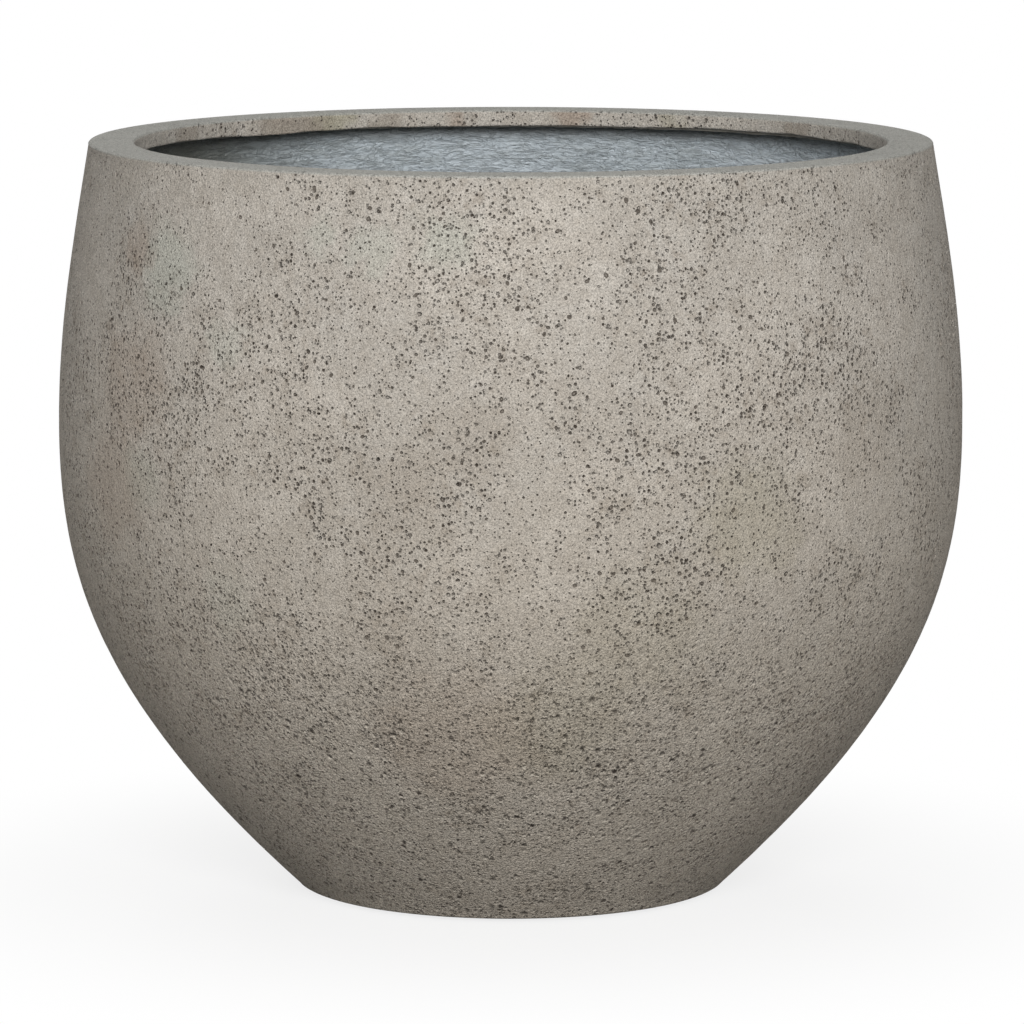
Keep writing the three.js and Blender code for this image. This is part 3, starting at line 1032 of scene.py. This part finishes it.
# Stains: angle in degrees, height and radius in millimetres, how strong, and the tone's name.
WALL_STAINS = (
    (221, 630, 42, 0.5, "green"),
    (245, 667, 22, 0.35, "green"),
    (253, 655, 24, 0.35, "green"),
    (262, 665, 34, 0.45, "green"),
    (233, 564, 26, 0.35, "green"),
    (218, 432, 30, 0.4, "green"),
    (232, 328, 34, 0.3, "green"),
    (300, 408, 60, 0.35, "yellow"),
    (286, 300, 75, 0.25, "yellow"),
    (276, 215, 70, 0.3, "yellow"),
    (262, 205, 85, 0.3, "rust"),
    (214, 640, 26, 0.3, "rust"),
    (216, 520, 60, 0.3, "rust"),
    (212, 420, 60, 0.3, "rust"),
    (266, 489, 45, 0.25, "brown"),
    (257, 442, 45, 0.25, "brown"),
    (255, 303, 40, 0.25, "brown"),
    (318, 470, 60, 0.2, "brown"),
)
# The same on the turned-down face, across the mouth from the front, all at one height.
LIP_STAIN_HEIGHT = RIM - 9 * MM
LIP_STAINS = (
    (80, 22, 0.55, "rust"),
    (99, 15, 0.45, "rust"),
    (63, 20, 0.4, "yellow"),
    (120, 30, 0.6, "yellow"),
    (128, 45, 0.6, "brown"),
    (110, 20, 0.45, "brown"),
    (38, 24, 0.45, "brown"),
    (152, 24, 0.45, "brown"),
)
STAIN_TONES = {
    "green": (183, 186, 174),
    "yellow": (158, 152, 128),
    "rust": (156, 135, 118),
    "brown": (140, 128, 114),
}
STAIN_RUFFLES = 28 * MM
STAIN_WANDER = 60 * MM
STAIN_REACH = (1.25, 0.45)  # from none to full, of a stain's radius


def stained(made, colour):
    """Soft stains with wandering edges."""
    wandering = made.ruffled(STAIN_RUFFLES, STAIN_WANDER)
    half = STAIN_WANDER / 2  # the noise moves every place by this much on average
    spots = [
        (angle, np.interp(height * MM, WALL[:, 1], WALL[:, 0]), height * MM, *rest)
        for angle, height, *rest in WALL_STAINS
    ]
    spots += [(angle, MOUTH_RADIUS, LIP_STAIN_HEIGHT, *rest) for angle, *rest in LIP_STAINS]
    for angle, across, height, radius, share, name in spots:
        way = math.radians(angle)
        centre = (across * math.cos(way) + half, across * math.sin(way) + half, height + half)
        bounds = [radius * MM * reach for reach in STAIN_REACH]
        near = made.step(made.distance_from(centre, wandering), *bounds, 0, share)
        colour = made.tinted(colour, near, STAIN_TONES[name])
    return colour


def hole_size(made, chance, spacing, least, greatest):
    """A hole's radius as a share of the spacing, with wide ones rarer."""
    return made.line(made.times(chance, chance), (greatest - least) / spacing, least / spacing)


def pinholes(made, crowd):
    """The procedural holes: how far painted shade darkens each place, and how deep it is."""
    uneven = made.ruffled(1.8 * MM, 1.5 * MM)
    wider = made.line(crowd, *HOLE_CROWDING)
    dark, deep = 0.0, 0.0
    for spacing, least, greatest, faint, strong in HOLE_LAYERS:
        distance, chances, _ = made.cells(spacing, uneven)
        size = made.times(hole_size(made, chances[0], spacing, least, greatest), wider)
        inside = made.step(distance, size, made.times(size, HOLE_FLOOR))
        shade = made.line(chances[1], strong - faint, faint)
        dark = made.most(dark, made.times(inside, shade))
        deep = made.most(deep, made.times(inside, greatest))
    return dark, deep


def dents(made):
    """Bowls in the sandy ground low on the wall: how deep each place is, and how much painted shade and
    painted highlight it gets.
    """
    uneven = made.ruffled(4 * MM, 3 * MM, DENT_TALL)
    deep, shaded, lit = 0.0, 0.0, 0.0
    for spacing, least, greatest, depth in DENT_LAYERS:
        distance, chances, centre = made.cells(spacing, uneven)
        size = hole_size(made, chances[0], spacing, least, greatest)
        inside = made.step(distance, size, made.times(size, DENT_FLOOR))
        strength = made.times(inside, made.line(chances[1], 0.5, 0.5))
        above = made.upward(made.vector("SUBTRACT", uneven, centre)[0])
        rise = made.math("DIVIDE", made.math("DIVIDE", above, spacing), size)
        deep = made.most(deep, made.step(distance, size, 0, 0, depth))
        shaded = made.most(shaded, made.times(strength, made.step(rise, *DENT_SHADE)))
        lit = made.most(lit, made.times(strength, made.step(rise, *DENT_SHINE)))
    return deep, shaded, lit


# Where the cement changes with height: from none to full.
SANDY_BAND = mm(400, 150)
# Darker towards the bottom: partly the lower wall's tan tone, partly painted shade for the light falling off
# down the wall.
DARKER_BAND = mm(660, 180)
RIM_BAND = (RIM - 3 * MM, RIM - 0.8 * MM)

# Tones as a screen shows them.
CEMENT_TONES = ((187, 181, 172), (198, 191, 181))
MOTTLE_TONE = (170, 162, 151)
PATCH_TONE = (168, 159, 147)
SMUDGE_TONE = (142, 131, 118)
DARKER_TONE = (170, 159, 143)
RIM_TONE = (172, 172, 166)
DENT_PAINTED_SHADE_TONE = (48, 40, 34)
DENT_PAINTED_HIGHLIGHT_TONE = (236, 228, 212)
HOLE_SHADE_TONE = (66, 57, 49)
COAT_TONES = ((202, 211, 216), (214, 223, 229))
STREAK_TONE = (160, 164, 160)
DULL_SIDE_TONE = (112, 113, 104)
LEDGE_SHADOW_TONE = (116, 112, 104)
FOLD_SHADE_TONE = (96, 101, 100)
SPECK_TONE = (190, 190, 190)


def cement_grain(made, low_down):
    """Fine grain that scales the colour, a little weaker up the wall than low down."""
    faint = made.line(low_down, -0.1, 0.72)
    bright = made.line(low_down, 0.12, 1.24)
    return made.step(made.noise(1.4 * MM, 1, 0.6), 0.3, 0.7, faint, bright)


def concrete():
    """Cast cement: pale beige clouds and stains, pinholes in clusters darkened with painted shade, sandy
    ground low down with painted shade and painted highlights on its dents, and a darker tone towards the
    bottom that is partly painted shade.
    """
    made = Finish("cast_cement", 0.9)
    crowd = made.attribute("crowding")
    height = made.upward(made.place)
    low_down = made.step(height, *SANDY_BAND)
    on_rim = made.step(height, *RIM_BAND)

    clouds = made.step(made.noise(200 * MM, 3, 0.55), 0.38, 0.62)
    mottle = made.step(made.noise(34 * MM, 4, 0.6), 0.35, 0.68, 0.45, 0)
    patches = made.step(made.noise(9 * MM, 3, 0.6), 0.35, 0.6, 0.3, 0)
    smudges = made.step(made.noise(13 * MM, 3, 0.6), 0.5, 0.72)
    smudged = made.times(smudges, made.step(crowd, 0.2, 0.9))
    colour = made.mix(clouds, *(srgb(*tone) for tone in CEMENT_TONES))
    colour = made.tinted(colour, mottle, MOTTLE_TONE)
    colour = made.tinted(colour, patches, PATCH_TONE)
    colour = made.tinted(colour, made.times(smudged, 0.5), SMUDGE_TONE)
    colour = stained(made, colour)
    # Darker towards the bottom: partly a tan tone, partly painted shade.
    colour = made.tinted(colour, made.times(made.step(height, *DARKER_BAND), 0.45), DARKER_TONE)
    colour = made.tinted(colour, made.times(on_rim, 0.85), RIM_TONE)
    grain = cement_grain(made, low_down)
    colour = made.node("ShaderNodeVectorMath", {0: colour, "Scale": grain}, operation="SCALE")[0]

    dented = made.times(low_down, made.step(made.noise(32 * MM, 3, 0.6), 0.36, 0.56, 0.4, 1))
    dent, shaded, lit = (made.times(value, dented) for value in dents(made))
    # Painted shade on the dents' upper sides and a painted highlight on their lower edges.
    colour = made.tinted(colour, shaded, DENT_PAINTED_SHADE_TONE)
    colour = made.tinted(colour, made.times(lit, 0.9), DENT_PAINTED_HIGHLIGHT_TONE)

    # The holes, procedural and in the mesh, are darkened in colour: painted shade for the shade in their
    # hollows, with a little brown dirt.
    dark, deep = pinholes(made, crowd)
    dark = made.most(dark, made.step(made.attribute("pit"), 0.05, 0.6, 0, 0.76))
    dark = made.times(dark, made.line(on_rim, -0.85, 1))
    dark = made.times(dark, made.line(low_down, -0.3, 1))
    colour = made.tinted(colour, dark, HOLE_SHADE_TONE)

    sandy = made.times(made.noise(2.4 * MM, 2, 0.7), made.line(low_down, 0.8, 1))
    peel = made.noise(8 * MM, 3, 0.6)
    made.bump((sandy, 1.3 * MM), (peel, 1.5 * MM), (deep, -1.3), (dent, -1))
    return made.finish(colour, specular=0.2)


DULL_SIDE = (-0.36, 0.12, 0.62)  # the middle of the stretch of coat that the photo shows dull
DULL_REACH = (0.38, 0.17)  # from none to full
# Painted shadow on the coat just under the overhanging ledge: from none to full.
LEDGE_SHADOW_BAND = (LEDGE - 16 * MM, LEDGE - 2 * MM)


def coat():
    """Satin blue-grey waterproof coat over hand-laid fibre, with a painted shadow under the ledge and painted
    shade in its creases.
    """
    made = Finish("blue_grey_coat", 0.42)
    clouds = made.step(made.noise(110 * MM, 3, 0.6), 0.35, 0.65)
    streaks = made.noise(20 * MM, 3, 0.6, made.stretched(1, 1, 3.5))
    dull = made.step(made.distance_from(DULL_SIDE, made.ruffled(50 * MM, 60 * MM)), *DULL_REACH)
    shadow_under_ledge = made.step(made.upward(made.place), *LEDGE_SHADOW_BAND)
    place = made.stretched(1, 1, 3.2)
    fibre = made.noise(9 * MM, 4, 0.7, place, 0.4)
    crease = made.math("ABSOLUTE", made.math("SUBTRACT", made.noise(22 * MM, 3, 0.65, place, 0.8), 0.5))
    folded = made.step(crease, 0.0, 0.05, 1, 0)
    colour = made.mix(clouds, *(srgb(*tone) for tone in COAT_TONES))
    colour = made.tinted(colour, made.step(streaks, 0.4, 0.65, 0, 0.3), STREAK_TONE)
    colour = made.tinted(colour, dull, DULL_SIDE_TONE)
    # Painted shadow under the ledge.
    colour = made.tinted(colour, made.times(shadow_under_ledge, 0.7), LEDGE_SHADOW_TONE)
    # Painted shade in the creases.
    colour = made.tinted(colour, made.times(folded, 0.2), FOLD_SHADE_TONE)
    made.bump((fibre, 4 * MM), (streaks, 4 * MM), (folded, -0.8 * MM))
    return made.finish(colour, made.step(fibre, 0.3, 0.7, 0.3, 0.5), specular=0.6)


def grainy(name, first, second, size, relief, roughness):
    """A plain finish in two close tones, with a fine grain."""
    made = Finish(name, roughness)
    clouds = made.noise(size * 12, 3, 0.6)
    grain = made.noise(size, 3, 0.6)
    colour = made.mix(made.step(clouds, 0.35, 0.65), srgb(*first), srgb(*second))
    specked = made.mix(1.0, colour, srgb(*SPECK_TONE), "MULTIPLY")
    colour = made.mix(made.step(grain, 0.35, 0.65, 0.25, 0), colour, specked)
    made.bump((grain, relief))
    return made.finish(colour, made.step(grain, 0.3, 0.7, roughness - 0.08, roughness + 0.05), specular=0.3)


# ---- Floor and light ----

FLOOR_REACH = 60.0
FLOOR_GAP = 0.2 * MM  # under the pads, so that no two faces share a plane
FLOOR_GREY = (0.35, 0.35, 0.35, 1)  # by which the floor throws light back up
WHITE = (1, 1, 1, 1)
SHADOW_REACH = (0.25, 0.75)  # from full shadow to none, by distance from the axis
SHADOW_SHARE = 0.2
WORLD_STRENGTH = 0.25
LAMP_SIZE = 4.4
LAMP_AIM = Vector((0, 0, 0.4))
LAMPS = (("key", Vector((0.5, -9, 3.8)), 752), ("back", Vector((-1.5, 8, 5)), 220))  # power in watts


def floor_material():
    """White to the camera with the planter's shadow kept, and plain pale grey to the light."""
    made = Finish("floor", 1.0)
    glow = made.node("ShaderNodeEmission")[0]
    shown, plain = (made.node("ShaderNodeBsdfDiffuse", {"Color": grey})[0] for grey in (WHITE, FLOOR_GREY))
    shadow = made.step(made.distance_from((0, 0, 0)), *SHADOW_REACH, SHADOW_SHARE, 0)
    surface = made.either(made.seen_directly(), plain, made.either(shadow, glow, shown))
    made.feed(made.tree.nodes["Material Output"].inputs[0], surface)
    return made.material


def make_floor():
    reach, drop = FLOOR_REACH, -FLOOR_GAP
    corners = [(-reach, -reach, drop), (reach, -reach, drop), (reach, reach, drop), (-reach, reach, drop)]
    new_piece("floor", np.array(corners), [(0, 1, 2, 3)], floor_material())


def make_world():
    world = bpy.data.worlds.new("studio")
    bpy.context.scene.world = world
    world.use_nodes = True
    made = Nodes(world.node_tree)
    light, shown = (
        made.node("ShaderNodeBackground", {"Color": WHITE, "Strength": strength})[0]
        for strength in (WORLD_STRENGTH, 1.0)
    )
    surface = made.either(made.seen_directly(), light, shown)
    made.feed(made.tree.nodes["World Output"].inputs[0], surface)
    made.tree.nodes.remove(made.tree.nodes["Background"])


def make_lamps():
    for name, place, power in LAMPS:
        data = bpy.data.lights.new(name, "AREA")
        data.shape = "DISK"
        data.size = LAMP_SIZE
        data.energy = power
        add_aimed(name, data, place, LAMP_AIM - place)


def dress_floor_disc(material):
    """The disc, closed in on all sides, keeps the CAD mesh."""
    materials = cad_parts["floor_disc"].data.materials
    materials.clear()
    materials.append(material)


make_camera()
core = grainy("packed_cement", (150, 146, 138), (138, 133, 124), 1.5 * MM, 0.5 * MM, 0.92)
laminate = grainy("fibre_laminate", (156, 154, 140), (146, 143, 128), 2 * MM, 0.5 * MM, 0.85)
plastic = grainy("grey_plastic", (74, 77, 79), (70, 73, 75), 0.6 * MM, 0.02 * MM, 0.45)
rubber = grainy("black_rubber", (38, 38, 38), (33, 33, 33), 0.7 * MM, 0.05 * MM, 0.7)
make_facing(concrete())
make_backing(laminate)
make_rim_core(core)
make_coating(coat())
make_sleeve(plastic)
make_plug(rubber)
make_pads(rubber)
dress_floor_disc(core)
make_floor()
make_world()
make_lamps()
bpy.context.scene.view_settings.view_transform = "Standard"
